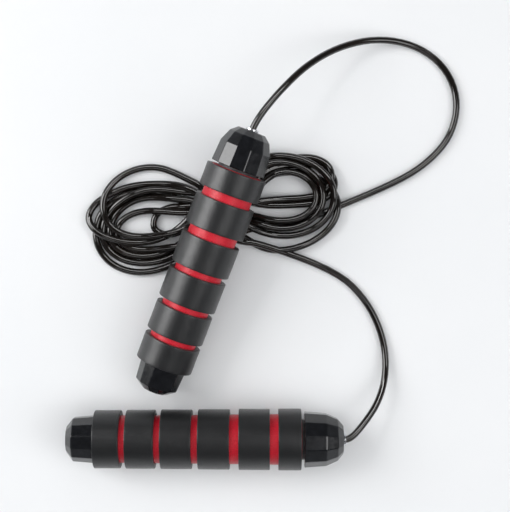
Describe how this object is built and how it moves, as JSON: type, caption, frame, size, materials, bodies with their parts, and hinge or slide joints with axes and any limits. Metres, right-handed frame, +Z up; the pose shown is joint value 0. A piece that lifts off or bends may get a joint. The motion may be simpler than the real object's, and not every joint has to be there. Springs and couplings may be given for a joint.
{
  "type": "jump rope",
  "caption": "Jump rope with foam-grip handles that spin on ball bearings, joined by a coated cable laid in a loop and a loose crossed coil.",
  "frame": {"origin": "on the surface that the handles lie on, midway between the outer ends of the two handles in X and in Y", "axes": "+X along the lower handle from its tail to its head, +Y from the lower handle towards the head of the handle that lies over the coil, +Z up"},
  "size_m": [0.2306, 0.2532, 0.0471],
  "materials": {
    "black_foam": "matte closed-cell foam",
    "red_foam": "matte closed-cell foam",
    "cap_plastic": "glossy moulded plastic",
    "core_plastic": "moulded plastic",
    "cable_coating": "glossy coated cable",
    "ferrule_steel": "bright turned metal",
    "bearing_steel": "polished bearing steel",
    "cage_brass": "pressed sheet",
    "clamp_metal": "turned metal",
    "screw_steel": "blackened steel"
  },
  "bodies": {
    "rope": {"bearing_inner_race_a": "bearing_steel", "ferrule_a": "ferrule_steel", "cable_clamp_a": "clamp_metal", "clamp_screw_a": "screw_steel", "cable_end_a": "cable_coating", "bearing_inner_race_b": "bearing_steel", "ferrule_b": "ferrule_steel", "cable_clamp_b": "clamp_metal", "clamp_screw_b": "screw_steel", "cable_end_b": "cable_coating", "cable_loop": "cable_coating", "cable_coil": "cable_coating", "cable_arm": "cable_coating"},
    "handle_a": {"core_tube_a": "core_plastic", "foam_sleeve_a": "red_foam", "grip_ring_1_a": "black_foam", "grip_ring_2_a": "black_foam", "grip_ring_3_a": "black_foam", "grip_ring_4_a": "black_foam", "grip_ring_5_a": "black_foam", "grip_ring_6_a": "black_foam", "tail_cap_a": "cap_plastic", "head_cap_a": "cap_plastic", "bearing_outer_race_a": "bearing_steel", "bearing_shields_a": "bearing_steel"},
    "cage_a": {"bearing_cage_a": "cage_brass", "bearing_balls_a": "bearing_steel"},
    "handle_b": {"core_tube_b": "core_plastic", "foam_sleeve_b": "red_foam", "grip_ring_1_b": "black_foam", "grip_ring_2_b": "black_foam", "grip_ring_3_b": "black_foam", "grip_ring_4_b": "black_foam", "grip_ring_5_b": "black_foam", "grip_ring_6_b": "black_foam", "tail_cap_b": "cap_plastic", "head_cap_b": "cap_plastic", "bearing_outer_race_b": "bearing_steel", "bearing_shields_b": "bearing_steel"},
    "cage_b": {"bearing_cage_b": "cage_brass", "bearing_balls_b": "bearing_steel"}
  },
  "joints": [
    {"name": "handle_a_spin", "type": "hinge", "parent": "rope", "child": "handle_a", "pos_m": [0.02427, 0.08979, 0.03188], "axis": [0.3553, 0.9279, 0.1132], "continuous": true},
    {"name": "handle_b_spin", "type": "hinge", "parent": "rope", "child": "handle_b", "pos_m": [0.0729, -0.08029, 0.01784], "axis": [1, 0, 0.0092], "continuous": true},
    {"name": "cage_a_spin", "type": "hinge", "parent": "rope", "child": "cage_a", "pos_m": [0.02427, 0.08979, 0.03188], "axis": [0.3553, 0.9279, 0.1132], "continuous": true},
    {"name": "cage_b_spin", "type": "hinge", "parent": "rope", "child": "cage_b", "pos_m": [0.0729, -0.08029, 0.01784], "axis": [1, 0, 0.0092], "continuous": true}
  ],
  "couplings": [
    {"joint": "cage_a_spin", "follows": "handle_a_spin", "ratio": 0.60526},
    {"joint": "cage_b_spin", "follows": "handle_b_spin", "ratio": 0.60526}
  ]
}
